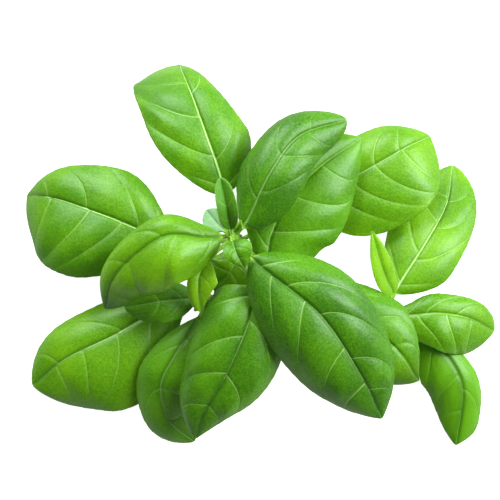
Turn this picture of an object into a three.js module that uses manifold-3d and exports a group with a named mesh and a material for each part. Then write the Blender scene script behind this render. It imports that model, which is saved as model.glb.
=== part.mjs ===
// A bunch of fresh basil, lying on a flat surface with its leafy tops upward.
// Three cut sprigs lie together. Each has a stem that lies along the surface and
// turns up to a shoot tip, with its leaves set round the upright part.
// Units are millimetres, +Z is up, and the surface is at z = 0.

import * as THREE from 'three';
import { mergeVertices } from 'three/addons/utils/BufferGeometryUtils.js';
import Module from 'manifold-3d';

const wasm = await Module();
wasm.setup();

// ---- driving dimensions ----

const BUNCH_CENTRE = [4.5, -2.1];     // middle of the bunch in the plan that the tables below use
const BLADE_HALF_THICKNESS = 0.35;
const RIB_DEPTH = 0.7;                // how far the midrib stands out under the blade at its base
const RIB_WIDTH = 1.3;
const STALK_RADIUS = 0.9;
const STALK_EDGE = 0.3;               // half thickness left at the sides of the stalk
const STEM_RADIUS = 2.0;
const STEM_LIFT = 1.7;                // height of a lying stem's axis, so that a flat strip rests
const JOINT_GAP = 0.3;                // clear space between a stalk's root and its stem
const VEIN_PAIRS = 4;
const BEND_REACH = 0.14;               // share of the blade over which its direction is evened out
const STALK_REACH = 0.3;               // the same for a stalk, as a length
const VEIN_SWEEP = 0.22;              // how far along the blade a side vein runs before the margin
const SWEEP_RISE = 0.3;               // share of the blade over which the sweep grows from none
const ROWS_TO_ENDS = 0.5;             // 0 spaces the rows evenly, 1 gathers them at both ends
const PANEL_SWELL = 0.045;            // how far the panels between veins stand up, as a share of width
const MARGIN_WAVE = 0.5;
const WAVES_PER_SIDE = 3;
const TIP_HALF_WIDTH = 0.9;
const SWEEP_CURVE = 1.2;              // above 1 a side vein bends forward towards the margin
const BUD_STALK = 2.5;
const STALK_START = STEM_RADIUS + JOINT_GAP + STALK_RADIUS;   // from the stem's axis
const STEM_STEPS = 28;
const STEM_CURVE_SEGMENTS = 5;
const MERGE_DISTANCE = 1e-4;
const LEAF_ROUGHNESS = 0.45;
const REACH = 400;                    // larger than the bunch, for the cut at the surface

const LARGE_LEAF = { columns: 8, stalkRows: 2, bladeRows: 16 };
const SMALL_LEAF = { columns: 6, stalkRows: 1, bladeRows: 8 };
const BUD_LEAF = { columns: 4, stalkRows: 1, bladeRows: 5 };

// ---- colours ----

const GREEN = {
  deep: 0x3f7a1c,
  mid: 0x5c9a26,
  bright: 0x7cb92e,
  young: 0x94c83c,
  stem: 0x9cc257,
};

// ---- the sprigs' stems: points from the cut end to the shoot tip ----

const STEMS = {
  centre: [
    [40, -37, STEM_LIFT], [25, -25, STEM_LIFT], [10, -12, 4], [0, -2, 10],
    [-4, 3.5, 19], [-5.5, 5, 30], [-6.5, 5.5, 40], [-7, 5.5, 44],
  ],
  left: [
    [35, -50, STEM_LIFT], [18, -38, STEM_LIFT], [2, -27, 3.5], [-10, -21, 8],
    [-15.5, -19, 16], [-17, -19, 25],
  ],
  right: [
    [38, -59, STEM_LIFT], [43, -51, STEM_LIFT], [48.5, -40, 3.5], [51.5, -30, 6],
    [52.5, -23.5, 14], [52.5, -22.5, 22],
  ],
};

// The unopened leaf at each shoot tip: its midrib, from inside the stem to its tip.
const BUDS = {
  centre: [[-7, 5.5, 41], [-4.5, 8, 44.5], [-3.5, 11, 46.5]],
  left: [[-17, -19, 23], [-19, -21, 27], [-21, -23, 29]],
  right: [[52.5, -22.5, 20.5], [50, -24, 24], [46.5, -25.5, 25.5]],
};
const BUD_SIDE = [2.2, 35, 60, 2.4, 0.4, 1];

// ---- the leaves ----
// spine: the midrib from the stem's axis to the tip
// stalk: length of the bare stalk, from the stem's axis
// base: how the blade widens from its base; a smaller number gives a rounder base
// left, right: the half blades seen from the root: [width, lift at the midrib, slope at the
// margin, fullness towards the tip, where it is widest, roundness of the tip], in millimetres,
// degrees and shares; a roundness of 1 gives a pointed tip and 0.5 a round one
// roll: how far the blade is turned about its midrib, at its base and at its tip; the left
// side goes up

const LEAVES = [
  { name: 'leaf_big_lower_right', color: GREEN.mid, grid: LARGE_LEAF, stalk: 12, base: 0.6,
    left: [20, 14, -52, 2.6, 0.42, 0.8], right: [25, 14, -55, 2.6, 0.42, 0.75], roll: [0, 0],
    spine: [[-6.5, 5.5, 40], [4, -6, 46], [26, -24, 48], [41.5, -47, 38.5], [50, -63.8, 26]] },
  { name: 'leaf_behind_big', color: GREEN.mid, grid: LARGE_LEAF, stalk: 26, base: 0.8,
    left: [15.4, 12, -45, 1.3, 0.62, 1.2], right: [16.5, 12, -40, 4.5, 0.42, 0.5], roll: [0, 0],
    spine: [[-5, 4.5, 26], [19, -12, 29], [42, -27, 32], [56.5, -38.5, 30.5], [64.3, -49.6, 24]] },
  { name: 'leaf_low_centre', color: GREEN.mid, grid: LARGE_LEAF, stalk: 21.5, base: 0.15,
    left: [19.4, 18, -62, 1.7, 0.42, 0.9], right: [20.4, 20, -62, 2.5, 0.32, 0.78], roll: [0, 0],
    spine: [[-6, 5, 34], [-5, -4.5, 35.5], [0.5, -10.5, 37], [2.2, -14, 38], [1.3, -20, 38.8],
      [-1.5, -30, 39], [-9, -47, 35.5], [-17.5, -62, 27.5], [-21, -72, 20]] },
  { name: 'leaf_inner_dark', color: GREEN.deep, grid: SMALL_LEAF, stalk: 4, base: 0.6,
    left: [11, 10, -35, 2.2, 0.42, 0.7], right: [10, 10, -35, 2.2, 0.42, 0.7], roll: [0, 0],
    spine: [[-5.5, 5, 26], [-5.5, -3, 29], [-8, -9, 29], [-15, -14.5, 25]] },
  { name: 'leaf_mid_left', color: GREEN.bright, grid: LARGE_LEAF, stalk: 4.5, base: 0.6,
    left: [19.4, 22, -45, 2.5, 0.3, 0.5], right: [13, 10, -100, 2.2, 0.35, 0.8], roll: [0, 0],
    spine: [[-6.5, 5.5, 40], [-16.5, 4.5, 45], [-31, 5.2, 49], [-44, -3, 44.5],
      [-52, -12, 36.5], [-55, -22.2, 26]] },
  { name: 'leaf_top_centre', color: GREEN.mid, grid: LARGE_LEAF, stalk: 6, base: 0.6,
    left: [14.5, 10, -80, 1.9, 0.35, 0.5], right: [14.4, 20, -45, 2.3, 0.3, 0.5], roll: [0, 0],
    spine: [[-6.5, 5.5, 37], [-1, 11, 42], [7.5, 28.5, 46.5], [18.5, 42.5, 43], [36.3, 48.8, 35]] },
  { name: 'leaf_top_centre_under', color: GREEN.mid, grid: LARGE_LEAF, stalk: 12, base: 0.5,
    left: [14, 12, -30, 2.6, 0.42, 0.8], right: [24.8, 12, -40, 2.3, 0.36, 0.85], roll: [0, 0],
    spine: [[-5.5, 5, 30], [5, -3, 33], [8, 6, 35], [14, 18, 36], [26, 31, 35], [42, 42.3, 30]] },
  { name: 'leaf_top_left', color: GREEN.bright, grid: LARGE_LEAF, stalk: 17, base: 0.6,
    left: [20.5, 10, -15, 6, 0.52, 0.3], right: [18, 5, -55, 1.1, 0.3, 0.9], roll: [0, 0],
    spine: [[-5, 4.5, 27], [-11.5, 29, 30], [-16, 42, 31], [-21.8, 58, 26.5], [-26, 68.2, 16.5],
      [-27.3, 72, 2.5]] },
  { name: 'leaf_far_left', color: GREEN.bright, grid: LARGE_LEAF, stalk: 26, base: 0.7,
    left: [27.6, 12, -30, 3, 0.55, 0.5], right: [20, 12, -40, 1.7, 0.4, 0.8], roll: [0, 0],
    spine: [[-4, 3.5, 18], [-30.5, 4, 22], [-53.5, 12.5, 24], [-72, 19, 18], [-81, 20.8, 12],
      [-86.5, 21.5, 3]] },
  { name: 'leaf_top_right_broad', color: GREEN.bright, grid: LARGE_LEAF, stalk: 32, base: 0.3,
    left: [16.9, 5, -70, 2.4, 0.42, 0.6], right: [24.9, 12, -16, 2.7, 0.45, 0.4], roll: [0, 0],
    spine: [[-4, 3.5, 18], [26, 20, 21], [48, 32.5, 24.5], [60, 39.3, 23.5], [69, 43.5, 16]] },
  { name: 'leaf_low_left', color: GREEN.bright, grid: LARGE_LEAF, stalk: 10, base: 0.8,
    left: [29.4, 12, -35, 2, 0.5, 0.5], right: [15.5, 8, -60, 3, 0.45, 0.6], roll: [0, 0],
    spine: [[-15, -19, 12], [-34.5, -23, 13.5], [-52, -32.7, 14], [-71, -42, 10], [-84.6, -53, 1]] },
  { name: 'leaf_small_dark', color: GREEN.deep, grid: SMALL_LEAF, stalk: 4, base: 0.6,
    left: [8.5, 10, -30, 2.4, 0.42, 0.7], right: [7.5, 10, -30, 2.4, 0.42, 0.7], roll: [0, 0],
    spine: [[-17, -19, 21], [-22, -18.5, 24], [-34, -19.5, 26], [-48, -22, 21]] },
  { name: 'leaf_small_curled', color: GREEN.young, grid: SMALL_LEAF, stalk: 14, base: 0.5,
    left: [7.5, 20, 5, 1, 0.4, 1], right: [4.2, 10, -30, 3, 0.5, 0.7], roll: [0, 0],
    spine: [[-5.5, 5, 34], [-13, -1, 37], [-18.5, -8, 37.5], [-19.5, -15, 36.5], [-18.4, -23.4, 31.5]] },
  { name: 'leaf_low_under', color: GREEN.mid, grid: LARGE_LEAF, stalk: 8, base: 0.7,
    left: [22, 12, -35, 3, 0.42, 0.6], right: [11.4, 0, -60, 3, 0.45, 0.6], roll: [0, 0],
    spine: [[-16, -19, 20], [-20, -27, 23], [-28.5, -40, 24], [-34, -52, 20.8], [-31, -66, 11.5],
      [-22, -74.6, 2]] },
  { name: 'leaf_inner_low', color: GREEN.mid, grid: SMALL_LEAF, stalk: 4, base: 0.6,
    left: [9, 10, -30, 2.6, 0.42, 0.7], right: [9, 10, -30, 2.6, 0.42, 0.7], roll: [0, 0],
    spine: [[-17, -19, 21], [-11, -17, 23.5], [-2, -14, 23.5], [9, -10, 20]] },
  { name: 'leaf_young_curled', color: GREEN.young, grid: SMALL_LEAF, stalk: 6, base: 0.4,
    left: [5, 30, -15, 2, 0.38, 0.9], right: [4.6, 30, -15, 2.2, 0.4, 0.9], roll: [25, 25],
    spine: [[52.5, -22.5, 21], [54, -16.5, 24], [51.5, -11, 29], [48.8, -4, 34.5], [45.5, 7, 40]] },
  { name: 'leaf_right_large', color: GREEN.bright, grid: LARGE_LEAF, stalk: 7, base: 0.7,
    left: [16, 12, -30, 3, 0.42, 0.7], right: [15.3, 10, -40, 2.6, 0.3, 0.6], roll: [-8, -8],
    spine: [[52.5, -22.5, 17], [56.8, -13.5, 20], [68, 4, 18.5], [76, 18, 10], [79, 33, 1.5]] },
  { name: 'leaf_right_bright', color: GREEN.young, grid: LARGE_LEAF, stalk: 4.5, base: 0.6,
    left: [8, 10, -40, 4, 0.4, 0.5], right: [15.5, 12, -30, 4, 0.55, 0.55], roll: [0, 0],
    spine: [[52.5, -22.5, 14], [60.3, -25, 18], [72, -24.2, 19.5], [84, -26.2, 15.5], [94.5, -31.4, 7]] },
  { name: 'leaf_drooping', color: GREEN.mid, grid: LARGE_LEAF, stalk: 10, base: 1.2,
    left: [9.6, -10, -70, 4, 0.75, 0.8], right: [15.2, 12, -35, 1.9, 0.46, 0.8], roll: [0, 10],
    spine: [[52, -23, 9], [61, -26.5, 10.5], [70.5, -34, 11.5], [79, -45, 11.5], [82.3, -56, 9],
      [80.3, -76, 1]] },
  { name: 'leaf_young_folded', color: GREEN.deep, grid: SMALL_LEAF, stalk: 4, base: 0.6,
    left: [4.5, 50, 20, 2.8, 0.45, 0.55], right: [4.6, 50, 20, 2.8, 0.45, 0.55], roll: [0, 0],
    spine: [[-7, 5.5, 44], [-7.6, 9.5, 49], [-8.6, 16.5, 54], [-10.8, 26.5, 55]] },
  { name: 'leaf_young_bright', color: GREEN.young, grid: SMALL_LEAF, stalk: 3.8, base: 0.5,
    left: [6.5, 25, -10, 1.8, 0.35, 1], right: [4.6, 25, -10, 1.2, 0.35, 1], roll: [0, 0],
    spine: [[-7, 5.5, 44], [-6, 1.5, 49], [-4.5, -2.5, 50], [-2, -7, 47]] },
  { name: 'leaf_pale_behind', color: GREEN.young, grid: SMALL_LEAF, stalk: 4, base: 0.7,
    left: [4.5, 20, 10, 2.6, 0.42, 0.8], right: [4.5, 20, 10, 2.6, 0.42, 0.8], roll: [0, 0],
    spine: [[-6.5, 5.5, 36], [-11, 8.5, 37], [-16.5, 15, 35]] },
];

const radians = THREE.MathUtils.degToRad;
const lerp = THREE.MathUtils.lerp;

// ---- the leaf's form ----

// Half width of a blade as a share of its greatest, at t from base (0) to tip (1).
function outline(t, base, [, , , fullness, widest, tip]) {
  if (t < widest) {
    return Math.pow(Math.sin((Math.PI / 2) * (t / widest)), base);
  }
  const ahead = (t - widest) / (1 - widest);
  return Math.pow(Math.max(0, 1 - Math.pow(ahead, fullness)), tip);
}

// A half blade's section is an arc that starts at the lift angle and ends at the margin's
// slope. Returns how far out and how far up it is at the share q of its width.
function sectionArc(start, end, q) {
  const bend = end - start;
  const angle = start + bend * q;
  return [(Math.sin(angle) - Math.sin(start)) / bend, (Math.cos(start) - Math.cos(angle)) / bend];
}

// The midrib's point at a distance along it, and the directions to the left and up there. Its
// own direction is evened out over a reach either way, but not back past the distance first.
function midribFrame(curve, length, distance, roll, reach, first) {
  const pointAt = (d) => curve.getPointAt(THREE.MathUtils.clamp(d / length, 0, 1));
  const point = pointAt(distance);
  const behind = pointAt(Math.max(distance - reach, first));
  const along = pointAt(distance + reach).sub(behind).normalize();
  const left = new THREE.Vector3(0, 0, 1).cross(along).normalize();
  const up = new THREE.Vector3().crossVectors(along, left);
  left.applyAxisAngle(along, roll);
  up.applyAxisAngle(along, roll);
  return { point, left, up };
}

// One closed blade with its stalk, which begins at the distance root from the stem's axis.
// The sheet's x runs across (1 right, -1 left) and its y runs along; rows of the blade follow
// the side veins. The faces lie in pairs of equal triangles on both sides, so the two never
// cross. The phase sets where the margin's waves start.
function leafGeometry(leaf, root, phase) {
  const { columns, stalkRows, bladeRows } = leaf.grid;
  const rows = stalkRows + bladeRows;
  const curve = new THREE.CatmullRomCurve3(
    leaf.spine.map((p) => new THREE.Vector3(...p)), false, 'catmullrom', 0.5);
  const length = curve.getLength();
  const bladeLength = length - leaf.stalk;

  const sheet = new THREE.BoxGeometry(2, rows, 1, columns, rows, 1);
  matchDiagonals(sheet);
  const place = sheet.getAttribute('position');
  for (let i = 0; i < place.count; i += 1) {
    const across = -place.getX(i);
    const row = place.getY(i) + rows / 2;
    const face = Math.sign(place.getZ(i));
    const side = across >= 0 ? leaf.left : leaf.right;
    const q = Math.abs(across);

    if (row <= stalkRows) {
      const distance = lerp(root, leaf.stalk, row / stalkRows);
      const roll = radians(leaf.roll[0]);
      const { point, left, up } = midribFrame(curve, length, distance, roll, STALK_REACH, 0);
      const half = Math.max(STALK_EDGE, STALK_RADIUS * Math.sqrt(1 - q * q));
      point.addScaledVector(left, across * STALK_RADIUS);
      point.addScaledVector(up, face * half);
      place.setXYZ(i, point.x, point.y, Math.max(point.z, 0));
      continue;
    }

    const share = (row - stalkRows) / bladeRows;
    const r = lerp(share, (1 - Math.cos(Math.PI * share)) / 2, ROWS_TO_ENDS);
    const sweep = VEIN_SWEEP * (1 - r * r) * (1 - Math.exp(-r / SWEEP_RISE));
    const t = r + sweep * Math.pow(q, SWEEP_CURVE);
    const roll = radians(lerp(leaf.roll[0], leaf.roll[1], t));
    const distance = leaf.stalk + bladeLength * t;
    const reach = BEND_REACH * bladeLength;
    const { point, left, up } = midribFrame(curve, length, distance, roll, reach, leaf.stalk);
    const form = outline(t, leaf.base, side);
    const width = Math.max(TIP_HALF_WIDTH, side[0] * form);
    const [out, rise] = sectionArc(radians(side[1]), radians(side[2]), q);
    const panel = PANEL_SWELL * width * Math.abs(Math.cos(Math.PI * VEIN_PAIRS * share))
      * Math.sin(Math.PI * q);
    const ripple = MARGIN_WAVE * q * q * form
      * Math.sin(2 * Math.PI * WAVES_PER_SIDE * r + phase * Math.sign(across));
    const rib = RIB_DEPTH * (1 - r) * Math.exp(-Math.pow(q * width / RIB_WIDTH, 2));
    const bend = radians(lerp(side[1], side[2], q));
    const lift = width * rise + panel + ripple;
    point.addScaledVector(left, Math.sign(across) * width * out);
    point.addScaledVector(up, lift);
    const normal = up.clone().multiplyScalar(Math.cos(bend));
    normal.addScaledVector(left, -Math.sign(across) * Math.sin(bend));
    const thick = face > 0 ? BLADE_HALF_THICKNESS : -(BLADE_HALF_THICKNESS + rib);
    point.addScaledVector(normal, thick);
    const floor = face > 0 ? 2 * BLADE_HALF_THICKNESS : 0;
    place.setXYZ(i, point.x, point.y, Math.max(point.z, floor));
  }
  sheet.deleteAttribute('normal');
  sheet.deleteAttribute('uv');
  sheet.clearGroups();
  return mergeVertices(sheet, MERGE_DISTANCE);
}

// Turns the diagonals of the sheet's under face so that they lie below those of its top.
function matchDiagonals(sheet) {
  const under = sheet.groups.find((group) => group.materialIndex === 5);
  const index = sheet.getIndex();
  for (let i = under.start; i < under.start + under.count; i += 6) {
    const a = index.getX(i);
    const b = index.getX(i + 1);
    const d = index.getX(i + 2);
    const c = index.getX(i + 4);
    [a, b, c, a, c, d].forEach((corner, step) => index.setX(i + step, corner));
  }
}

// ---- solids ----

function toSolid(geometry) {
  const bare = geometry.clone();
  bare.deleteAttribute('normal');
  bare.deleteAttribute('uv');
  const merged = mergeVertices(bare, MERGE_DISTANCE);
  return new wasm.Manifold(new wasm.Mesh({
    numProp: 3,
    vertProperties: new Float32Array(merged.getAttribute('position').array),
    triVerts: new Uint32Array(merged.getIndex().array),
  }));
}

function toGeometry(solid) {
  const mesh = solid.getMesh();
  const geometry = new THREE.BufferGeometry();
  geometry.setAttribute('position', new THREE.BufferAttribute(mesh.vertProperties, 3));
  geometry.setIndex(new THREE.BufferAttribute(mesh.triVerts, 1));
  geometry.computeVertexNormals();
  return geometry;
}

// A stem with the unopened leaf of its shoot tip grown on to it. Its lying part is cut
// flat where it rests.
function stemGeometry(points, budSpine) {
  const section = new THREE.Shape();
  section.absarc(0, 0, STEM_RADIUS, 0, 2 * Math.PI, false);
  const path = new THREE.CatmullRomCurve3(
    points.map((p) => new THREE.Vector3(...p)), false, 'catmullrom', 0.5);
  const rod = new THREE.ExtrudeGeometry(section, {
    extrudePath: path, steps: STEM_STEPS, curveSegments: STEM_CURVE_SEGMENTS, bevelEnabled: false,
  });
  const bud = {
    spine: budSpine, grid: BUD_LEAF, stalk: BUD_STALK, base: 0.85, roll: [0, 0],
    left: BUD_SIDE, right: BUD_SIDE,
  };
  const grown = toSolid(rod).add(toSolid(leafGeometry(bud, 0, 0)));
  const above = new THREE.BoxGeometry(REACH, REACH, REACH);
  above.translate(0, 0, REACH / 2);
  return toGeometry(grown.intersect(toSolid(above)));
}

// ---- the bunch ----

const bunch = new THREE.Group();
bunch.position.set(-BUNCH_CENTRE[0], -BUNCH_CENTRE[1], 0);

function addPiece(name, geometry, color) {
  const material = new THREE.MeshStandardMaterial({ color, roughness: LEAF_ROUGHNESS, metalness: 0 });
  const mesh = new THREE.Mesh(geometry, material);
  mesh.name = name;
  bunch.add(mesh);
}

for (const [name, points] of Object.entries(STEMS)) {
  addPiece(`stem_${name}`, stemGeometry(points, BUDS[name]), GREEN.stem);
}

LEAVES.forEach((leaf, i) => {
  addPiece(leaf.name, leafGeometry(leaf, STALK_START, i), leaf.color);
});

export default bunch;
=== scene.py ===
"""Dresses a lying bunch of fresh basil: fine leaf blades, stems, hairs and their finishes."""
import bisect
import math
import random

import bmesh
import bpy
from mathutils import Matrix, Vector, noise


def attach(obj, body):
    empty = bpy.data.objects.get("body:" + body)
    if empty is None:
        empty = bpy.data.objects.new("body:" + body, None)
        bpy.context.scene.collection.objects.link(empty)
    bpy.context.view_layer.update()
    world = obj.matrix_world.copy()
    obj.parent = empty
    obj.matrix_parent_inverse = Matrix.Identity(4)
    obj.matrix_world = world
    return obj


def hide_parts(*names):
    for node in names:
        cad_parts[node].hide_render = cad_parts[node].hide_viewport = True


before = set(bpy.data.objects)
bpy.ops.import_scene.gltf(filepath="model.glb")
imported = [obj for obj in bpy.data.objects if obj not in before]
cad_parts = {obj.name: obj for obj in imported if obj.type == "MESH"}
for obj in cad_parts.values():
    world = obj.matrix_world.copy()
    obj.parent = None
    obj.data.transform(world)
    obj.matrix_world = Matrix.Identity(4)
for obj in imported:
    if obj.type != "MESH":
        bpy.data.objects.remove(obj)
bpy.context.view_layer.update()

# ---- sizes ----
# Lengths here and in the tables are millimetres, and MM turns them into metres.
# q runs from 0 at the midrib to 1 at the margin. r and t run from 0 at the base of the blade to 1
# at its tip: r is where a side vein leaves the midrib, and t is where it has got to.

MM = 0.001
BUNCH_CENTRE = (4.5, -2.1)       # middle of the bunch in the plan that the tables use

BLADE_HALF_THICKNESS = 0.24
EDGE_HALF_THICKNESS = 0.13
RIB_DEPTH = 0.7                  # how far the midrib stands out under the blade at its base
RIB_WIDTH = 1.3
RIB_GROOVE = 0.65                # depth and half width of the channel over the midrib
RIB_GROOVE_WIDTH = 0.7
VEIN_GROOVE = 0.28               # the same for the side veins
VEIN_GROOVE_WIDTH = 0.55
VEIN_RIDGE = 0.28                # how far a side vein stands out under the blade
STALK_RADIUS = 0.9
STALK_EDGE = 0.3                 # half thickness of the stalk at its sides
STALK_CHANNEL = 0.45             # depth of the channel along the stalk, as a share of its radius
STALK_CHANNEL_WIDTH = 0.4
STALK_BLEND = 6.0                # length over which the stalk runs out under the blade
STEM_RADIUS = 2.0
PANEL_SWELL = 0.06               # how far the blade stands up between two side veins
QUILT_SWELL = 0.09               # the small cushions between the finer veins
QUILTS_ACROSS = 4.5
QUILT_SHIFT = 3                  # how far noise shifts the cushions of one panel from the next's
QUILT_STEPS = (3.7, 5.1, 1.9)    # steps in that noise per panel, per side and per leaf
MARGIN_WAVE = 0.5
WAVES_PER_SIDE = 3
TOOTH_DEPTH = 0.16
TEETH_PER_SIDE = 15
TOOTH_RISE = 12                  # the power of q that keeps the teeth to the very margin
TOOTHED_ABOVE = 6                # the teeth are shallower where half the blade is narrower
RELIEF_ABOVE = 12                # the same for grooves, ribs and swelling
SURFACE_DRIFT = 0.5              # slow unevenness of the whole blade
DRIFT_STEPS = (1.6, 2.6, 7.3)    # steps in its noise across and along the blade, and per leaf
EDGE_THINNING = 4                # the power of q by which the blade thins towards its edge
TIP_HALF_WIDTH = 0.5
TIP_CLOSING = 0.02               # share of the blade over which its tip comes together
FLAT_BELOW = 1.5                 # a half blade narrower than this bends less

LINE_REACH = 0.3                 # length over which a stem's or stalk's direction is evened out
BEND_REACH = 0.14                # the same for a blade, as a share of it
SWEEP_RISE = 0.18                # share of the blade over which the sweep grows from none
SWEEP_STRAIGHT = 0.22            # 1 gives straight side veins, less bends them forward
BEYOND_ENDS = 0.1                # how far the vein count runs on past either end
FAR_OFF = 9.0                    # stands for no vein and no margin near
ROWS_TO_ENDS = 0.5               # 0 spaces the rows evenly, 1 gathers them at both ends
COLUMNS_GATHER = 1.2             # above 1 the columns lie closer together at the midrib

LARGE_LEAF = {"columns": 100, "stalk": 12, "blade": 118}
SMALL_LEAF = {"columns": 60, "stalk": 8, "blade": 60}
BUD_LEAF = {"columns": 24, "stalk": 4, "blade": 24}

STEM_AROUND = 24
STEM_ALONG = 90
STEM_RIDGE = 0.1                 # how square the stem's section is
HAIRS_PER_STEM = 220
HAIRY_PART = (0.45, 0.98)        # shares of the stem between which hairs grow
HAIRS_ABOVE = 2                  # height under which there are none
HAIR_LENGTH = 0.9
HAIR_RADIUS = 0.05
HAIR_TIP = 0.2                   # radius of a hair's tip, as a share of its root's

# ---- colours and finishes ----

GREENS = {
    "mid": ("#609c08", "#306402"),
    "bright": ("#78ac0a", "#468003"),
    "young": ("#88bc12", "#5a9606"),
    # The pale pair is a painted highlight: a leaf washed out by light, not a green of its own.
    "pale": ("#8cb482", "#7aa272"),
}
VEIN_PALE = "#c0e488"
STALK_GREEN = "#94c23c"
STEM_GREEN = "#5f8f14"
STEM_PALE = "#8cb83a"
UNDERSIDE = "#8fc052"
AGED_TIP = "#4a5c12"
# Painted shade: the dark blue-green of a leaf tip that turns away from the light.
PAINTED_SHADE_TIP = "#1c5228"
EVEN_RIB = -1.0                  # a "pale from" before the blade leaves the whole midrib pale

LEAF_ROUGHNESS = 0.37
UNDERSIDE_ROUGHNESS = 0.2        # what the underside adds
GRAIN_ROUGHNESS = 0.08
LEAF_SPECULAR = 0.45
LEAF_BUMP = {"Strength": 0.3, "Distance": 0.0002}    # this distance and scale are in metres
LEAF_SCATTER = {"Weight": 0.15, "Radius": (0.5, 1.0, 0.1), "Scale": 0.0006}
STEM_ROUGHNESS = 0.45

NET_SCALE = 380.0                # texture scales, per metre
PATCH_SCALE = 55.0
GRAIN_SCALE = 1400.0
STREAK_SCALE = 260.0
TEXTURE_DETAIL = 2.0
STREAK_DETAIL = 3.0
GRAIN_CONTRAST = 0.24            # the rest are shares: of a contrast, a relief or a colour
GRAIN_RELIEF = 0.8
NET_COLOUR = 0.14
NET_RELIEF = -0.25
STALK_COLOUR = 0.75
# Painted highlight: the share by which a thin line along the margin turns pale, like a lit edge.
RIM_HIGHLIGHT = 0.15
UNDERSIDE_COLOUR = 0.75

# ---- studio, in metres ----

FLOOR_COLOUR = (0.6, 0.62, 0.5, 1)
FLOOR_HALF_SIZE = 3
FLOOR_ROUGHNESS = 0.9
SOFTBOX_DISTANCE = 1.6
SOFTBOX_COLOUR = (0.9, 1.0, 0.97)
WORLD_COLOUR = (0.85, 1, 0.6, 1)
WORLD_STRENGTH = 0.12
CAMERA_HEIGHT = 0.900
CAMERA_OVER = (-0.0045, 0.0021)  # where it stands over the floor
FOCAL_SHARE = 2302.6 / 500       # focal length over the width of the frame

# ---- the sprigs: points from the cut end to the shoot tip ----

STEMS = {
    "centre": [
        (40, -37, 1.7), (25, -25, 1.7), (10, -12, 4), (0, -2, 10),
        (-4, 3.5, 19), (-5.5, 5, 30), (-6.5, 5.5, 40), (-7, 5.5, 44),
    ],
    "left": [
        (35, -50, 1.7), (18, -38, 1.7), (2, -27, 3.5), (-10, -21, 8),
        (-15.5, -19, 16), (-17, -19, 25),
    ],
    "right": [
        (38, -59, 1.7), (43, -51, 1.7), (48.5, -40, 3.5), (51.5, -30, 6),
        (52.5, -23.5, 14), (52.5, -22.5, 22),
    ],
}
BUDS = {
    "centre": [(-7, 5.5, 41), (-4.5, 8, 44.5), (-3.5, 11, 46.5)],
    "left": [(-17, -19, 23), (-19, -21, 27), (-21, -23, 29)],
    "right": [(52.5, -22.5, 20.5), (50, -24, 24), (46.5, -25.5, 25.5)],
}
BUD_SIDE = (2.2, 35, 60, 2.4, 0.4, 1)
BUD_ROW = dict(
    grid=BUD_LEAF, stalk=2.5, base=0.85, left=BUD_SIDE, right=BUD_SIDE, roll=(0, 0),
    tone=0, left_veins=(0.3, 0.6), right_veins=(0.3, 0.6), sweep=0.5, relief=0.2)

# ---- the leaves ----
# grid: how finely the leaf is divided. stalk: the stalk's length. spine: points along the stalk
# and the midrib, from the stem to the tip. roll: degrees about the spine, at base and tip.
# left, right: half width, lift at the midrib, slope at the margin, fullness towards the tip,
# widest place, roundness of the tip. base: a smaller number gives a rounder base.
# finish: its pair of greens.
# tone: lighter above 0, darker below. rib, vein: how pale the midrib and side veins are.
# crease_shade: painted shade, how far the blade turns to its darker green beside the midrib.
# tip, tip_strength: another colour at its tip: an aged olive, or painted shade where the tip turns
# away from the light.
# pale_from: the midrib is pale only beyond this share of the blade. roughness: for a duller leaf.
# left_veins, right_veins: where the side veins leave the midrib, as shares of the blade.
# sweep: how far forward the side veins run. relief: how strongly the blade swells between them
# and its margin waves.

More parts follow.
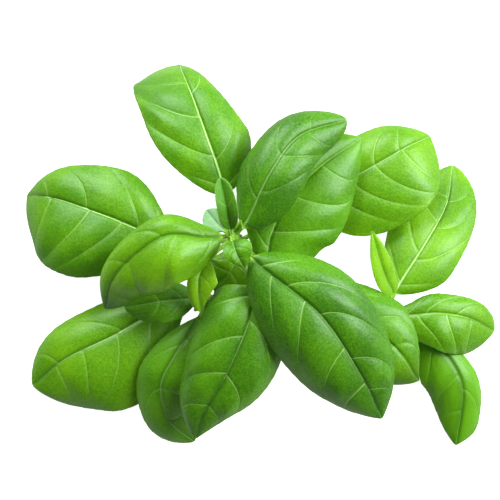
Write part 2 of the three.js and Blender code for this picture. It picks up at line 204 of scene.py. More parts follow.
LEAVES = [
    dict(name="leaf_big_lower_right", grid=LARGE_LEAF, stalk=12, base=0.6,
         left=(20, 14, -52, 2.6, 0.42, 0.8), right=(25, 14, -55, 2.6, 0.42, 0.75), roll=(0, 0),
         spine=[(-6.5, 5.5, 40), (4, -6, 46), (26, -24, 48), (41.5, -47, 38.5), (50, -63.8, 26)],
         finish="mid", tone=-0.3, rib=0.45, vein=0.3, crease_shade=0.7,
         left_veins=(0.06, 0.2, 0.39, 0.64, 0.82), right_veins=(0.12, 0.3, 0.58, 0.78),
         sweep=0.66, relief=0.6, pale_from=0.45),
    dict(name="leaf_behind_big", grid=LARGE_LEAF, stalk=26, base=0.8,
         left=(15.4, 12, -45, 1.3, 0.62, 1.2), right=(16.5, 12, -40, 4.5, 0.42, 0.5), roll=(0, 0),
         spine=[(-5, 4.5, 26), (19, -12, 29), (42, -27, 32), (56.5, -38.5, 30.5),
                (64.3, -49.6, 24)],
         finish="bright", tone=-0.4, rib=0.1, vein=0.1, crease_shade=0.2,
         left_veins=(0.25, 0.5, 0.72), right_veins=(0.25, 0.5, 0.72),
         sweep=0.6, relief=0.5,
         tip=AGED_TIP, tip_strength=0.5),
    dict(name="leaf_low_centre", grid=LARGE_LEAF, stalk=21.5, base=0.15,
         left=(19.4, 18, -62, 1.7, 0.42, 0.9), right=(20.4, 20, -62, 2.5, 0.32, 0.78), roll=(0, 0),
         spine=[(-6, 5, 34), (-5, -4.5, 35.5), (0.5, -10.5, 37), (2.2, -14, 38), (1.3, -20, 38.8),
                (-1.5, -30, 39), (-9, -47, 35.5), (-17.5, -62, 27.5), (-21, -72, 20)],
         finish="mid", tone=-0.1, rib=0.35, vein=0.3, crease_shade=0.6,
         left_veins=(0.2, 0.53, 0.75), right_veins=(0.06, 0.29, 0.52, 0.75),
         sweep=0.6, relief=0.8, pale_from=0.1),
    dict(name="leaf_inner_dark", grid=SMALL_LEAF, stalk=4, base=0.6,
         left=(11, 10, -35, 2.2, 0.42, 0.7), right=(10, 10, -35, 2.2, 0.42, 0.7), roll=(0, 0),
         spine=[(-5.5, 5, 26), (-5.5, -3, 29), (-8, -9, 29), (-15, -14.5, 25)],
         finish="bright", tone=0, rib=0.3, vein=0.2, crease_shade=0.3,
         left_veins=(0.2, 0.5), right_veins=(0.2, 0.5),
         sweep=0.6, relief=0.4),
    dict(name="leaf_mid_left", grid=LARGE_LEAF, stalk=4.5, base=0.6,
         left=(19.4, 22, -45, 2.5, 0.3, 0.5), right=(13, 10, -100, 2.2, 0.35, 0.8), roll=(0, 0),
         spine=[(-6.5, 5.5, 40), (-16.5, 4.5, 45), (-31, 5.2, 49), (-44, -3, 44.5),
                (-52, -12, 36.5), (-55, -22.2, 26)],
         finish="bright", tone=-0.05, rib=0.12, vein=0.12, crease_shade=0.4,
         left_veins=(0.06, 0.27, 0.6, 0.82), right_veins=(0.1, 0.35, 0.62),
         sweep=0.6, relief=0.8,
         # Its tip colour is painted shade.
         tip=PAINTED_SHADE_TIP, tip_strength=0.8),
    dict(name="leaf_top_centre", grid=LARGE_LEAF, stalk=6, base=0.6,
         left=(14.5, 10, -80, 1.9, 0.35, 0.5), right=(14.4, 20, -45, 2.3, 0.3, 0.5), roll=(0, 0),
         spine=[(-6.5, 5.5, 37), (-1, 11, 42), (7.5, 28.5, 46.5), (18.5, 42.5, 43),
                (36.3, 48.8, 35)],
         finish="mid", tone=-0.35, rib=0.4, vein=0.12, crease_shade=0.3,
         left_veins=(0.2, 0.5, 0.75), right_veins=(0.25, 0.5, 0.72),
         sweep=0.66, relief=0.5),
    dict(name="leaf_top_centre_under", grid=LARGE_LEAF, stalk=12, base=0.5,
         left=(14, 12, -30, 2.6, 0.42, 0.8), right=(24.8, 12, -40, 2.3, 0.36, 0.85), roll=(0, 0),
         spine=[(-5.5, 5, 30), (5, -3, 33), (8, 6, 35), (14, 18, 36), (26, 31, 35), (42, 42.3, 30)],
         finish="mid", tone=0.15, rib=0.35, vein=0.3, crease_shade=0.1,
         left_veins=(0.1, 0.35, 0.6), right_veins=(0.02, 0.2, 0.45, 0.7),
         sweep=0.6, relief=0.45),
    dict(name="leaf_top_left", grid=LARGE_LEAF, stalk=17, base=0.6,
         left=(20.5, 10, -15, 6, 0.52, 0.3), right=(18, 5, -55, 1.1, 0.3, 0.9), roll=(0, 0),
         spine=[(-5, 4.5, 27), (-11.5, 29, 30), (-16, 42, 31), (-21.8, 58, 26.5),
                (-26, 68.2, 16.5), (-27.3, 72, 2.5)],
         finish="bright", tone=-0.38, rib=1, vein=0.3, crease_shade=0.3,
         left_veins=(0.05, 0.22, 0.45, 0.68), right_veins=(0.04, 0.2, 0.6),
         sweep=0.6, relief=0.7),
    dict(name="leaf_far_left", grid=LARGE_LEAF, stalk=26, base=0.7,
         left=(27.6, 12, -30, 3, 0.55, 0.5), right=(20, 12, -40, 1.7, 0.4, 0.8), roll=(0, 0),
         spine=[(-4, 3.5, 18), (-30.5, 4, 22), (-53.5, 12.5, 24), (-72, 19, 18), (-81, 20.8, 12),
                (-86.5, 21.5, 3)],
         finish="bright", tone=-0.4, rib=0.9, vein=0.25, crease_shade=0.4,
         left_veins=(0.1, 0.3, 0.5, 0.75), right_veins=(0.05, 0.2, 0.52, 0.78),
         sweep=0.6, relief=0.45),
    dict(name="leaf_top_right_broad", grid=LARGE_LEAF, stalk=32, base=0.3,
         left=(16.9, 5, -70, 2.4, 0.42, 0.6), right=(24.9, 12, -16, 2.7, 0.45, 0.4), roll=(0, 0),
         spine=[(-4, 3.5, 18), (26, 20, 21), (48, 32.5, 24.5), (60, 39.3, 23.5), (69, 43.5, 16)],
         finish="bright", tone=-0.15, rib=0.5, vein=0.3, crease_shade=0.3,
         left_veins=(0.25, 0.5, 0.7), right_veins=(0.02, 0.14, 0.3, 0.5, 0.72),
         sweep=0.72, relief=0.25),
    dict(name="leaf_low_left", grid=LARGE_LEAF, stalk=10, base=0.8,
         left=(29.4, 12, -35, 2, 0.5, 0.5), right=(15.5, 8, -60, 3, 0.45, 0.6), roll=(0, 0),
         spine=[(-15, -19, 12), (-34.5, -23, 13.5), (-52, -32.7, 14), (-71, -42, 10),
                (-84.6, -53, 1)],
         finish="bright", tone=-0.1, rib=0.7, vein=0.2, crease_shade=0.4,
         left_veins=(0.05, 0.2, 0.41, 0.62, 0.8), right_veins=(0.1, 0.38, 0.78),
         sweep=0.66, relief=0.3),
    dict(name="leaf_small_dark", grid=SMALL_LEAF, stalk=4, base=0.6,
         left=(8.5, 10, -30, 2.4, 0.42, 0.7), right=(7.5, 10, -30, 2.4, 0.42, 0.7), roll=(0, 0),
         spine=[(-17, -19, 21), (-22, -18.5, 24), (-34, -19.5, 26), (-48, -22, 21)],
         finish="mid", tone=0, rib=0.3, vein=0.2, crease_shade=0.3,
         left_veins=(0.2, 0.5), right_veins=(0.2, 0.5),
         sweep=0.6, relief=0.5, roughness=0.45),
    dict(name="leaf_small_curled", grid=SMALL_LEAF, stalk=14, base=0.5,
         left=(7.5, 20, 5, 1, 0.4, 1), right=(4.2, 10, -30, 3, 0.5, 0.7), roll=(0, 0),
         spine=[(-5.5, 5, 34), (-13, -1, 37), (-18.5, -8, 37.5), (-19.5, -15, 36.5),
                (-18.4, -23.4, 31.5)],
         finish="young", tone=0.25, rib=0.3, vein=0.15, crease_shade=0.2,
         left_veins=(0.3, 0.6), right_veins=(0.3, 0.6),
         sweep=0.5, relief=0.1),
    dict(name="leaf_low_under", grid=LARGE_LEAF, stalk=8, base=0.7,
         left=(22, 12, -35, 3, 0.42, 0.6), right=(11.4, 0, -60, 3, 0.45, 0.6), roll=(0, 0),
         spine=[(-16, -19, 20), (-20, -27, 23), (-28.5, -40, 24), (-34, -52, 20.8),
                (-31, -66, 11.5), (-22, -74.6, 2)],
         finish="mid", tone=0.1, rib=0.3, vein=0.12, crease_shade=0.5,
         left_veins=(0.15, 0.5, 0.75), right_veins=(0.2, 0.5),
         sweep=0.6, relief=0.3),
    dict(name="leaf_inner_low", grid=SMALL_LEAF, stalk=4, base=0.6,
         left=(9, 10, -30, 2.6, 0.42, 0.7), right=(9, 10, -30, 2.6, 0.42, 0.7), roll=(0, 0),
         spine=[(-17, -19, 21), (-11, -17, 23.5), (-2, -14, 23.5), (9, -10, 20)],
         finish="mid", tone=-0.2, rib=0.3, vein=0.2, crease_shade=0.3,
         left_veins=(0.3, 0.6), right_veins=(0.3, 0.6),
         sweep=0.6, relief=0.3),
    dict(name="leaf_young_curled", grid=SMALL_LEAF, stalk=6, base=0.4,
         left=(5, 30, -15, 2, 0.38, 0.9), right=(4.6, 30, -15, 2.2, 0.4, 0.9), roll=(25, 25),
         spine=[(52.5, -22.5, 21), (54, -16.5, 24), (51.5, -11, 29), (48.8, -4, 34.5),
                (45.5, 7, 40)],
         finish="young", tone=0.15, rib=0.3, vein=0.1, crease_shade=0.2,
         left_veins=(0.3, 0.6), right_veins=(0.3, 0.6),
         sweep=0.5, relief=0.1),
    dict(name="leaf_right_large", grid=LARGE_LEAF, stalk=7, base=0.7,
         left=(16, 12, -30, 3, 0.42, 0.7), right=(15.3, 10, -40, 2.6, 0.3, 0.6), roll=(-8, -8),
         spine=[(52.5, -22.5, 17), (56.8, -13.5, 20), (68, 4, 18.5), (76, 18, 10), (79, 33, 1.5)],
         finish="bright", tone=-0.05, rib=0.9, vein=0.25, crease_shade=0.2,
         left_veins=(0.08, 0.3, 0.55, 0.75), right_veins=(0.06, 0.25, 0.5, 0.72),
         sweep=0.66, relief=0.4),
    dict(name="leaf_right_bright", grid=LARGE_LEAF, stalk=4.5, base=0.6,
         left=(8, 10, -40, 4, 0.4, 0.5), right=(15.5, 12, -30, 4, 0.55, 0.55), roll=(0, 0),
         spine=[(52.5, -22.5, 14), (60.3, -25, 18), (72, -24.2, 19.5), (84, -26.2, 15.5),
                (94.5, -31.4, 7)],
         finish="bright", tone=-0.25, rib=0.7, vein=0.3, crease_shade=0.2,
         left_veins=(0.1, 0.27, 0.55), right_veins=(0.2, 0.45, 0.7),
         sweep=0.6, relief=0.4),
    dict(name="leaf_drooping", grid=LARGE_LEAF, stalk=10, base=1.2,
         left=(9.6, -10, -70, 4, 0.75, 0.8), right=(15.2, 12, -35, 1.9, 0.46, 0.8), roll=(0, 10),
         spine=[(52, -23, 9), (61, -26.5, 10.5), (70.5, -34, 11.5), (79, -45, 11.5),
                (82.3, -56, 9), (80.3, -76, 1)],
         finish="mid", tone=0.5, rib=0.15, vein=0.12, crease_shade=0.6,
         left_veins=(0.3, 0.6), right_veins=(0.2, 0.5, 0.75),
         sweep=0.66, relief=0.4, pale_from=0.5),
    dict(name="leaf_young_folded", grid=SMALL_LEAF, stalk=4, base=0.6,
         left=(4.5, 50, 20, 2.8, 0.45, 0.55), right=(4.6, 50, 20, 2.8, 0.45, 0.55), roll=(0, 0),
         spine=[(-7, 5.5, 44), (-7.6, 9.5, 49), (-8.6, 16.5, 54), (-10.8, 26.5, 55)],
         finish="bright", tone=-0.75, rib=0.6, vein=0.15, crease_shade=0,
         left_veins=(0.2, 0.5), right_veins=(0.2, 0.5),
         sweep=0.5, relief=0.1, roughness=0.6),
    dict(name="leaf_young_bright", grid=SMALL_LEAF, stalk=3.8, base=0.5,
         left=(6.5, 25, -10, 1.8, 0.35, 1), right=(4.6, 25, -10, 1.2, 0.35, 1), roll=(0, 0),
         spine=[(-7, 5.5, 44), (-6, 1.5, 49), (-4.5, -2.5, 50), (-2, -7, 47)],
         finish="mid", tone=0.25, rib=0.3, vein=0.15, crease_shade=0.5,
         left_veins=(0.3, 0.6), right_veins=(0.3, 0.6),
         sweep=0.5, relief=0.2),
    dict(name="leaf_pale_behind", grid=SMALL_LEAF, stalk=4, base=0.7,
         left=(4.5, 20, 10, 2.6, 0.42, 0.8), right=(4.5, 20, 10, 2.6, 0.42, 0.8), roll=(0, 0),
         spine=[(-6.5, 5.5, 36), (-11, 8.5, 37), (-16.5, 15, 35)],
         # Its pale greens are a painted highlight.
         finish="pale", tone=-0.9, rib=0.2, vein=0.1, crease_shade=0.1,
         left_veins=(0.3, 0.6), right_veins=(0.3, 0.6),
         sweep=0.5, relief=0.3, roughness=0.6),
]


def paint(code, alpha=1.0):
    """A colour code as the linear colour that a socket takes."""
    parts = [int(code[i:i + 2], 16) / 255 for i in (1, 3, 5)]
    linear = [c / 12.92 if c <= 0.04045 else ((c + 0.055) / 1.055) ** 2.4 for c in parts]
    return (*linear, alpha)


def lerp(a, b, t):
    return a + (b - a) * t


# ---- smooth lines ----

class Spine:
    """A smooth line through points, read by the distance along it, in millimetres."""

    SAMPLES = 240

    def __init__(self, points):
        knots = [Vector(p) for p in points]
        knots = [2 * knots[0] - knots[1], *knots, 2 * knots[-1] - knots[-2]]
        spans = len(points) - 1
        self.points = []
        for i in range(self.SAMPLES + 1):
            at = i / self.SAMPLES * spans
            k = min(int(at), spans - 1)
            self.points.append(self._between(knots[k:k + 4], at - k))
        self.marks = [0.0]
        for a, b in zip(self.points, self.points[1:]):
            self.marks.append(self.marks[-1] + (b - a).length)
        self.length = self.marks[-1]

    @staticmethod
    def _between(knots, u):
        before, a, b, after = knots
        leave, arrive = (b - before) / 2, (after - a) / 2
        u2, u3 = u * u, u * u * u
        return ((2 * u3 - 3 * u2 + 1) * a + (u3 - 2 * u2 + u) * leave
                + (3 * u2 - 2 * u3) * b + (u3 - u2) * arrive)

    def point(self, distance):
        distance = min(max(distance, 0.0), self.length)
        k = min(max(bisect.bisect_right(self.marks, distance) - 1, 0), self.SAMPLES - 1)
        share = (distance - self.marks[k]) / (self.marks[k + 1] - self.marks[k])
        return self.points[k].lerp(self.points[k + 1], share)

    def frame(self, distance, roll=0.0, reach=LINE_REACH, first=0.0):
        """The point there and the directions to the left and up, evened out over a reach
        either way, but not from before the distance called first."""
        behind = self.point(max(distance - reach, first))
        along = (self.point(distance + reach) - behind).normalized()
        left = Vector((0, 0, 1)).cross(along).normalized()
        up = along.cross(left)
        if roll:
            turn = Matrix.Rotation(roll, 3, along)
            left, up = turn @ left, turn @ up
        return self.point(distance), left, up


# ---- the leaf's form ----

def outline(t, base, fullness, widest, tip):
    """Half width at t from base (0) to tip (1), as a share of the greatest."""
    if t < widest:
        return math.sin(math.pi / 2 * max(t, 0.0) / widest) ** base
    ahead = (t - widest) / (1 - widest)
    return max(0.0, 1 - ahead ** fullness) ** tip


def section_arc(start, end, q):
    """How far out and up an arc of length 1 has come at q, as its angle turns."""
    bend = end - start
    angle = start + bend * q
    return (math.sin(angle) - math.sin(start)) / bend, (math.cos(start) - math.cos(angle)) / bend


def sweep(greatest, r):
    """How far forward a side vein that leaves the midrib at r ends."""
    return greatest * (1 - r) * (1 - math.exp(-r / SWEEP_RISE))


def sweep_profile(q):
    """The share of the sweep that is reached at q, from midrib (0) to margin (1)."""
    return SWEEP_STRAIGHT * q + (1 - SWEEP_STRAIGHT) * q * q


def vein_place(veins, r):
    """Counts side veins up to r: the place is a whole number on a vein. Also their spacing."""
    marks = (-veins[0] - BEYOND_ENDS, *veins, 2 + BEYOND_ENDS - veins[-1])
    k = bisect.bisect_right(marks, r) - 1
    gap = marks[k + 1] - marks[k]
    return k + (r - marks[k]) / gap, gap


def hump(distance, width):
    return math.exp(-(distance / width) ** 2)


def stepped_noise(place, steps):
    return noise.noise(Vector([p * step for p, step in zip(place, steps)]))


def stalk_vertex(leaf, spine, across, row, top):
    """The place of one point of the stalk, and what the finish needs to know about it."""
    q = abs(across)
    share = row / leaf["grid"]["stalk"]
    point, left, up = spine.frame(leaf["stalk"] * share, math.radians(leaf["roll"][0]))
    half = max(STALK_EDGE, STALK_RADIUS * math.sqrt(max(0.0, 1 - q * q)))
    channel = STALK_CHANNEL * hump(q, STALK_CHANNEL_WIDTH) * STALK_RADIUS * share
    sunk = channel if top else 0.0
    point = point + left * across * STALK_RADIUS + up * ((half if top else -half) - sunk)
    point.z = max(point.z, 0.0)
    return point, (0.5, FAR_OFF, q * STALK_RADIUS, FAR_OFF, 0.0)


def blade_vertex(leaf, spine, seed, across, row, top):
    """The place of one point of the blade, and what the finish needs to know about it."""
    q = abs(across)
    side = 1 if across >= 0 else -1
    share = (row - leaf["grid"]["stalk"]) / leaf["grid"]["blade"]
    r = lerp(share, (1 - math.cos(math.pi * share)) / 2, ROWS_TO_ENDS)
    t = r + sweep(leaf["sweep"], r) * sweep_profile(q)
    span = spine.length - leaf["stalk"]

    greatest, lift, slope, fullness, widest, tip = leaf["left"] if side > 0 else leaf["right"]
    roll = lerp(*(math.radians(a) for a in leaf["roll"]), t)
    point, left, up = spine.frame(leaf["stalk"] + span * t, roll, BEND_REACH * span,
                                  leaf["stalk"])
    form = outline(t, leaf["base"], fullness, widest, tip)
    neck = STALK_RADIUS * math.exp(-t * span / STALK_BLEND)
    tip_width = TIP_HALF_WIDTH * min(1.0, (1 - t) / TIP_CLOSING + 0.2)
    width = max(tip_width, greatest * form)
    width = math.hypot(width, neck)
    bend = min(1.0, width / FLAT_BELOW)
    start, end = math.radians(lift * bend), math.radians(slope * bend)
    out, rise = section_arc(start, end, q)

    place, gap = vein_place(leaf["left_veins"] if side > 0 else leaf["right_veins"], r)
    vein_distance = abs(place - round(place)) * gap * span
    rib_distance = q * width
    fade = (1 - q) ** 0.5
    between = abs(math.sin(math.pi * place))
    roomy = min(1.0, width / RELIEF_ABOVE)
    relief = leaf["relief"]
    panel = PANEL_SWELL * relief * width * between ** 1.2 * math.sin(math.pi * q) * roomy
    shift = QUILT_SHIFT * stepped_noise((round(place + 0.5), side, seed), QUILT_STEPS)
    quilt = QUILT_SWELL * relief * abs(math.sin(math.pi * (QUILTS_ACROSS * q + shift)))
    quilt *= between ** 0.5 * math.sin(math.pi * min(q * 1.1, 1.0)) * roomy
    wave = math.sin(2 * math.pi * WAVES_PER_SIDE * r + seed * side)
    ripple = MARGIN_WAVE * relief * q * q * form * wave
    drift = SURFACE_DRIFT * q * stepped_noise((across, t, seed), DRIFT_STEPS)
    groove = VEIN_GROOVE * hump(vein_distance, VEIN_GROOVE_WIDTH) * fade * roomy
    channel = RIB_GROOVE * (1 - 0.5 * t) * hump(rib_distance, RIB_GROOVE_WIDTH) * roomy
    surface = width * rise + panel + quilt + ripple + drift - groove - (channel if top else 0.0)
    tooth = TOOTH_DEPTH * (TEETH_PER_SIDE * t % 1.0) * q ** TOOTH_RISE
    tooth *= min(1.0, width / TOOTHED_ABOVE)

    point = point + left * (side * (width * out + tooth)) + up * surface
    lean = lerp(start, end, q)
    normal = up * math.cos(lean) - left * (side * math.sin(lean))
    thick = lerp(BLADE_HALF_THICKNESS, EDGE_HALF_THICKNESS, q ** EDGE_THINNING)
    if not top:
        stalk_part = (STALK_RADIUS - STALK_EDGE) * math.exp(-t * span / STALK_BLEND)
        rib = RIB_DEPTH * (1 - r) + stalk_part
        side_rib = VEIN_RIDGE * hump(vein_distance, VEIN_GROOVE_WIDTH) * fade
        thick += (rib * hump(rib_distance, RIB_WIDTH) + side_rib) * roomy
    point += normal * (thick if top else -thick)
    point.z = max(point.z, 2 * EDGE_HALF_THICKNESS if top else 0.0)
    return point, (place, gap * span, rib_distance, (1 - q) * width, t)


MEASURES = (
    "vein_place", "vein_gap", "rib_mm", "margin_mm", "along", "across", "underside", "tone")


def to_world(point):
    return Vector((point.x - BUNCH_CENTRE[0], point.y - BUNCH_CENTRE[1], point.z)) * MM


def grow_leaf(bm, leaf, seed):
    """Adds one closed blade with its stalk to the mesh."""
    grid = leaf["grid"]
    rows = grid["stalk"] + grid["blade"]
    measures = [bm.verts.layers.float.get(name) or bm.verts.layers.float.new(name)
                for name in MEASURES]
    sheet = bmesh.ops.create_grid(bm, x_segments=grid["columns"], y_segments=rows, size=1)
    bottom = sheet["verts"]
    faces = list({face for vert in bottom for face in vert.link_faces})
    raised = bmesh.ops.extrude_face_region(bm, geom=faces, use_keep_orig=True)
    top = [e for e in raised["geom"] if isinstance(e, bmesh.types.BMVert)]
    spine = Spine(leaf["spine"])
    for verts, is_top in ((bottom, False), (top, True)):
        for vert in verts:
            x = -vert.co.x
            across = math.copysign(abs(x) ** COLUMNS_GATHER, x)
            row = (vert.co.y + 1) / 2 * rows
            if row <= grid["stalk"] + 0.01:
                place, facts = stalk_vertex(leaf, spine, across, row, is_top)
            else:
                place, facts = blade_vertex(leaf, spine, seed, across, row, is_top)
            vert.co = to_world(place)
            values = (*facts, across, 0.0 if is_top else 1.0, leaf["tone"])
            for layer, value in zip(measures, values):
                vert[layer] = value


def finish_mesh(name, bm, material, node):
    """Makes the piece that takes the place of a node."""
    bmesh.ops.recalc_face_normals(bm, faces=bm.faces[:])
    mesh = bpy.data.meshes.new(name)
    bm.to_mesh(mesh)
    bm.free()
    mesh.polygons.foreach_set("use_smooth", [True] * len(mesh.polygons))
    piece = bpy.data.objects.new(name, mesh)
    bpy.context.scene.collection.objects.link(piece)
    mesh.materials.append(material)
    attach(piece, "root")
    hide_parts(node)


# ---- node helpers ----

def new_group(name, inputs, outputs):
    group = bpy.data.node_groups.new(name, "ShaderNodeTree")
    for label, kind, default in inputs:
        socket = group.interface.new_socket(name=label, in_out="INPUT", socket_type=kind)
        socket.default_value = default
    for label, kind in outputs:
        group.interface.new_socket(name=label, in_out="OUTPUT", socket_type=kind)
    return group


class Graph:
    """Short ways to place and join nodes in one tree."""

    def __init__(self, tree):
        self.tree = tree

    def node(self, kind, settings=None, **inputs):
        made = self.tree.nodes.new(kind)
        for key, value in (settings or {}).items():
            setattr(made, key, value)
        for key, value in inputs.items():
            self.feed(made.inputs[key], value)
        return made

    def feed(self, socket, value):
        if isinstance(value, bpy.types.NodeSocket):
            self.tree.links.new(value, socket)
        else:
            socket.default_value = value

    def attribute(self, name):
        return self.node("ShaderNodeAttribute", {"attribute_name": name}).outputs["Fac"]

    def cloud(self, spot, scale, detail):
        made = self.node("ShaderNodeTexNoise", Vector=spot, Scale=scale, Detail=detail)
        return made.outputs["Fac"]

    def sum(self, kind, a, b=0.0, clamp=False):
        made = self.tree.nodes.new("ShaderNodeMath")
        made.operation = kind
        made.use_clamp = clamp
        self.feed(made.inputs[0], a)
        self.feed(made.inputs[1], b)
        return made.outputs[0]

    def ramp(self, value, low, high, out_low=0.0, out_high=1.0):
        made = self.tree.nodes.new("ShaderNodeMapRange")
        made.interpolation_type = "SMOOTHSTEP"
        for i, entry in enumerate((value, low, high, out_low, out_high)):
            self.feed(made.inputs[i], entry)
        return made.outputs[0]

    def mix(self, share, a, b):
        made = self.tree.nodes.new("ShaderNodeMix")
        made.data_type = "RGBA"
        self.feed(made.inputs["Factor"], share)
        self.feed(made.inputs[6], a)
        self.feed(made.inputs[7], b)
        return made.outputs[2]


# ---- the leaf's finish ----

def make_vein_group():
    """Masks of the midrib, the side veins and the fine net between them."""
    group = new_group("leaf_veins", [], [
        ("Midrib", "NodeSocketFloat"),
        ("Side Veins", "NodeSocketFloat"),
        ("Net", "NodeSocketFloat"),
    ])
    g = Graph(group)
    place = g.attribute("vein_place")
    off = g.sum("ABSOLUTE", g.sum("SUBTRACT", place, g.sum("ROUND", place)))
    distance = g.sum("MULTIPLY", off, g.attribute("vein_gap"))
    across = g.sum("ABSOLUTE", g.attribute("across"))
    thin = g.ramp(across, 0.0, 0.9, 0.36, 0.16)
    line = g.ramp(g.sum("DIVIDE", distance, thin), 0.4, 1.3, 1.0, 0.0)
    side_veins = g.sum("MULTIPLY", line, g.ramp(across, 0.5, 0.95, 1.0, 0.0))

    half_width = g.ramp(g.attribute("along"), 0.0, 0.9, 0.5, 0.15)
    midrib = g.ramp(g.sum("DIVIDE", g.attribute("rib_mm"), half_width), 0.5, 1.15, 1.0, 0.0)

    spot = g.node("ShaderNodeTexCoord").outputs["Object"]
    cells = g.node("ShaderNodeTexVoronoi", {"feature": "DISTANCE_TO_EDGE"},
                   Vector=spot, Scale=NET_SCALE).outputs["Distance"]
    net = g.ramp(cells, 0.0, 0.12, 1.0, 0.0)
    out = g.node("NodeGroupOutput")
    g.feed(out.inputs["Midrib"], midrib)
    g.feed(out.inputs["Side Veins"], side_veins)
    g.feed(out.inputs["Net"], net)
    return group


def make_tissue_group(vein_group):
    """Colour, roughness and relief of leaf tissue from the blade's own measures; the colour also
    holds painted shade beside the midrib and at some tips, and a painted highlight along the
    margin.
    """
    group = new_group("leaf_tissue", [
        ("Green", "NodeSocketColor", paint(GREENS["mid"][0])),
        ("Deep Green", "NodeSocketColor", paint(GREENS["mid"][1])),
        ("Vein", "NodeSocketColor", paint(VEIN_PALE)),
        ("Underside", "NodeSocketColor", paint(UNDERSIDE)),
        ("Stalk", "NodeSocketColor", paint(STALK_GREEN)),
        ("Tip", "NodeSocketColor", paint(AGED_TIP)),
        ("Midrib Strength", "NodeSocketFloat", 0.6),
        ("Vein Strength", "NodeSocketFloat", 0.4),
        ("Crease Shade", "NodeSocketFloat", 0.3),
        ("Tip Strength", "NodeSocketFloat", 0.0),
        ("Pale From", "NodeSocketFloat", EVEN_RIB),
        ("Roughness", "NodeSocketFloat", LEAF_ROUGHNESS),
    ], [
        ("Color", "NodeSocketColor"),
        ("Roughness", "NodeSocketFloat"),
        ("Relief", "NodeSocketFloat"),
    ])
    g = Graph(group)
    given = g.node("NodeGroupInput")
    veins = g.node("ShaderNodeGroup", {"node_tree": vein_group})
    spot = g.node("ShaderNodeTexCoord").outputs["Object"]
    under = g.attribute("underside")
    along = g.attribute("along")

    patches = g.cloud(spot, PATCH_SCALE, TEXTURE_DETAIL)
    grain = g.cloud(spot, GRAIN_SCALE, TEXTURE_DETAIL)
    lightness = g.sum("ADD", g.ramp(patches, 0.3, 0.7, 0.35, 0.85), g.attribute("tone"))
    speckle = g.ramp(grain, 0.3, 0.7, -GRAIN_CONTRAST, GRAIN_CONTRAST)
    lightness = g.sum("ADD", lightness, speckle, clamp=True)
    tissue = g.mix(lightness, given.outputs["Deep Green"], given.outputs["Green"])
    # Painted shade: the blade turns to its darker green beside the midrib, as if the groove there
    # lay in shade.
    crease_shade = g.sum("MULTIPLY", g.ramp(g.attribute("rib_mm"), 0.2, 2.4, 1.0, 0.0),
                   g.sum("SUBTRACT", 1.0, under))
    crease_shade = g.sum("MULTIPLY", crease_shade, given.outputs["Crease Shade"])
    crease_shaded = g.mix(crease_shade, tissue, given.outputs["Deep Green"])
    # The tip colour: an aged olive on one leaf, painted shade on another.
    tip = g.sum("MULTIPLY", g.ramp(along, 0.76, 1.0), given.outputs["Tip Strength"])
    tipped = g.mix(tip, crease_shaded, given.outputs["Tip"])
    net_share = g.sum("MULTIPLY", veins.outputs["Net"], NET_COLOUR)
    netted = g.mix(net_share, tipped, given.outputs["Green"])
    vein_share = g.sum("MULTIPLY", veins.outputs["Side Veins"], given.outputs["Vein Strength"])
    veined = g.mix(vein_share, netted, given.outputs["Vein"])
    past_start = g.sum("SUBTRACT", along, given.outputs["Pale From"])
    pale_part = g.ramp(past_start, -0.15, 0.15, 0.15, 1.0)
    rib_share = g.sum("MULTIPLY", veins.outputs["Midrib"], given.outputs["Midrib Strength"])
    rib_share = g.sum("MULTIPLY", rib_share, pale_part)
    ribbed = g.mix(rib_share, veined, given.outputs["Vein"])
    stalk_share = g.ramp(along, 0.0, 0.03, STALK_COLOUR, 0.0)
    stalked = g.mix(stalk_share, ribbed, given.outputs["Stalk"])
    # Painted highlight: a thin pale line along the margin, where the edge catches the light.
    rim_highlight_share = g.ramp(g.attribute("margin_mm"), 0.05, 0.3, RIM_HIGHLIGHT, 0.0)
    rim_highlighted = g.mix(rim_highlight_share, stalked, given.outputs["Vein"])
    under_share = g.sum("MULTIPLY", under, UNDERSIDE_COLOUR)
    colour = g.mix(under_share, rim_highlighted, given.outputs["Underside"])

    under_rough = g.sum("MULTIPLY", under, UNDERSIDE_ROUGHNESS)
    rough = g.sum("ADD", given.outputs["Roughness"], under_rough)
    rough = g.sum("ADD", rough, g.sum("MULTIPLY", grain, GRAIN_ROUGHNESS))
    relief = g.sum("ADD", g.sum("MULTIPLY", veins.outputs["Net"], NET_RELIEF),
                   g.sum("MULTIPLY", grain, GRAIN_RELIEF))
    out = g.node("NodeGroupOutput")
    g.feed(out.inputs["Color"], colour)
    g.feed(out.inputs["Roughness"], rough)
    g.feed(out.inputs["Relief"], relief)
    return group


def leaf_finish(name, tissue, leaf):
    """The finish of one leaf: its greens, and how pale its veins are."""
    green, deep = GREENS[leaf["finish"]]
    material = bpy.data.materials.new(name)
    material.use_nodes = True
    g = Graph(material.node_tree)
    shader = material.node_tree.nodes["Principled BSDF"]
    made = g.node("ShaderNodeGroup", {"node_tree": tissue})
    settings = {
        "Green": paint(green),
        "Deep Green": paint(deep),
        "Midrib Strength": leaf["rib"],
        "Vein Strength": leaf["vein"],
        "Crease Shade": leaf["crease_shade"],
        "Pale From": leaf.get("pale_from", EVEN_RIB),
        "Tip": paint(leaf.get("tip", AGED_TIP)),
        "Tip Strength": leaf.get("tip_strength", 0.0),
        "Roughness": leaf.get("roughness", LEAF_ROUGHNESS),
    }
    for label, value in settings.items():
        made.inputs[label].default_value = value
    bump = g.node("ShaderNodeBump", Height=made.outputs["Relief"], **LEAF_BUMP)
    g.feed(shader.inputs["Base Color"], made.outputs["Color"])
    g.feed(shader.inputs["Roughness"], made.outputs["Roughness"])
    g.feed(shader.inputs["Normal"], bump.outputs["Normal"])
    shader.inputs["Specular IOR Level"].default_value = LEAF_SPECULAR
    for label, value in LEAF_SCATTER.items():
        shader.inputs[f"Subsurface {label}"].default_value = value
    return material


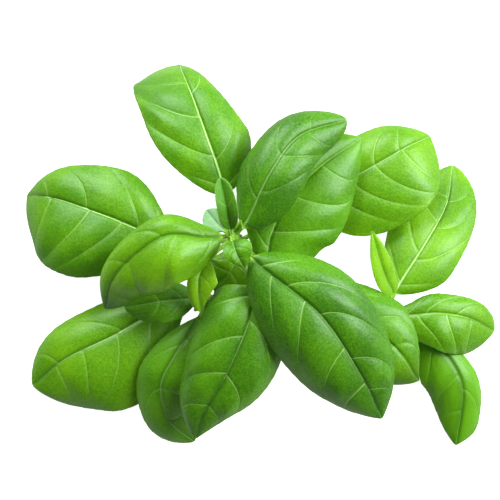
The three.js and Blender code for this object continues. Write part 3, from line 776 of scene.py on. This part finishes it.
def stem_finish():
    material = bpy.data.materials.new("stem_skin")
    material.use_nodes = True
    g = Graph(material.node_tree)
    shader = material.node_tree.nodes["Principled BSDF"]
    spot = g.node("ShaderNodeTexCoord").outputs["Object"]
    streaks = g.cloud(spot, STREAK_SCALE, STREAK_DETAIL)
    colour = g.mix(streaks, paint(STEM_GREEN), paint(STEM_PALE))
    g.feed(shader.inputs["Base Color"], colour)
    shader.inputs["Roughness"].default_value = STEM_ROUGHNESS
    return material


# ---- stems ----

def stem_radius(angle):
    return STEM_RADIUS * (1 - STEM_RIDGE * 0.5 * (1 - math.cos(4 * angle)))


def grow_stem(bm, spine):
    """Adds one closed stem to the mesh."""
    sheet = bmesh.ops.create_grid(bm, x_segments=STEM_AROUND, y_segments=STEM_ALONG, size=1)
    verts = sheet["verts"]
    for vert in verts:
        angle = math.pi * (vert.co.x + 1)
        share = (vert.co.y + 1) / 2
        point, left, up = spine.frame(spine.length * share)
        radius = stem_radius(angle)
        point = point + left * (radius * math.cos(angle)) + up * (radius * math.sin(angle))
        point.z = max(point.z, 0.0)
        vert.co = to_world(point)
    bmesh.ops.remove_doubles(bm, verts=verts, dist=0.00001)
    open_edges = [edge for edge in bm.edges if edge.is_boundary]
    bmesh.ops.holes_fill(bm, edges=open_edges, sides=0)


def grow_hairs(bm, spine, draw):
    """Short pale hairs over the upper part of a stem."""
    for _ in range(HAIRS_PER_STEM):
        point, left, up = spine.frame(spine.length * draw.uniform(*HAIRY_PART))
        angle = draw.uniform(0, 2 * math.pi)
        outward = (left * math.cos(angle) + up * math.sin(angle)).normalized()
        root = point + outward * (stem_radius(angle) - HAIR_RADIUS)
        if root.z < HAIRS_ABOVE:
            continue
        hair = bmesh.ops.create_cone(bm, cap_ends=True, segments=3, radius1=HAIR_RADIUS,
                                     radius2=HAIR_RADIUS * HAIR_TIP, depth=HAIR_LENGTH)
        turn = outward.to_track_quat("Z", "Y")
        for vert in hair["verts"]:
            local = Vector((vert.co.x, vert.co.y, vert.co.z + HAIR_LENGTH / 2))
            vert.co = to_world(root + turn @ local)


# ---- make the pieces ----

tissue_group = make_tissue_group(make_vein_group())
stem_material = stem_finish()

for number, stem_name in enumerate(STEMS):
    stem_spine = Spine(STEMS[stem_name])
    stem_mesh = bmesh.new()
    grow_stem(stem_mesh, stem_spine)
    grow_hairs(stem_mesh, stem_spine, random.Random(number))
    grow_leaf(stem_mesh, dict(BUD_ROW, spine=BUDS[stem_name]), 0)
    finish_mesh(f"sprig_{stem_name}", stem_mesh, stem_material, f"stem_{stem_name}")

for number, leaf_row in enumerate(LEAVES):
    leaf_mesh = bmesh.new()
    grow_leaf(leaf_mesh, leaf_row, number)
    short_name = leaf_row["name"].replace("leaf_", "")
    tissue_finish = leaf_finish(f"tissue_{short_name}", tissue_group, leaf_row)
    finish_mesh(f"blade_{short_name}", leaf_mesh, tissue_finish, leaf_row["name"])

# ---- floor, light and camera ----

floor_mesh = bpy.data.meshes.new("table_top")
floor_bm = bmesh.new()
bmesh.ops.create_grid(floor_bm, x_segments=1, y_segments=1, size=FLOOR_HALF_SIZE)
floor_bm.to_mesh(floor_mesh)
floor_bm.free()
floor = bpy.data.objects.new("table_top", floor_mesh)
bpy.context.scene.collection.objects.link(floor)
floor_paint = bpy.data.materials.new("table_white")
floor_paint.use_nodes = True
floor_shader = floor_paint.node_tree.nodes["Principled BSDF"]
floor_shader.inputs["Base Color"].default_value = FLOOR_COLOUR
floor_shader.inputs["Roughness"].default_value = FLOOR_ROUGHNESS
floor_shader.inputs["Emission Color"].default_value = (1, 1, 1, 1)
floor_rays = floor_paint.node_tree.nodes.new("ShaderNodeLightPath")
floor_paint.node_tree.links.new(floor_rays.outputs["Is Camera Ray"],
                                floor_shader.inputs["Emission Strength"])
floor_mesh.materials.append(floor_paint)


def softbox(name, round_angle, height_angle, power, size):
    """A round soft light that faces the bunch from a direction given in degrees."""
    around, height = math.radians(round_angle), math.radians(height_angle)
    place = Vector((math.cos(around) * math.cos(height), math.sin(around) * math.cos(height),
                    math.sin(height))) * SOFTBOX_DISTANCE
    lamp = bpy.data.lights.new(name, "AREA")
    lamp.shape = "DISK"
    lamp.size = size
    lamp.energy = power
    lamp.color = SOFTBOX_COLOUR
    holder = bpy.data.objects.new(name, lamp)
    holder.location = place
    holder.rotation_euler = place.to_track_quat("Z", "Y").to_euler()
    bpy.context.scene.collection.objects.link(holder)


softbox("right_light", 20, 40, 47, 1.4)
softbox("left_light", 115, 34, 35, 1.3)

world = bpy.data.worlds.new("studio")
bpy.context.scene.world = world
world.use_nodes = True
world.node_tree.nodes["Background"].inputs["Color"].default_value = WORLD_COLOUR
world.node_tree.nodes["Background"].inputs["Strength"].default_value = WORLD_STRENGTH

bpy.context.scene.view_settings.view_transform = "Standard"

# The camera looks straight down on the bunch.
lens = bpy.data.cameras.new("camera")
lens.sensor_width = 36.0
lens.lens = FOCAL_SHARE * lens.sensor_width
camera = bpy.data.objects.new("camera", lens)
camera.location = (*CAMERA_OVER, CAMERA_HEIGHT)
bpy.context.scene.collection.objects.link(camera)
bpy.context.scene.camera = camera
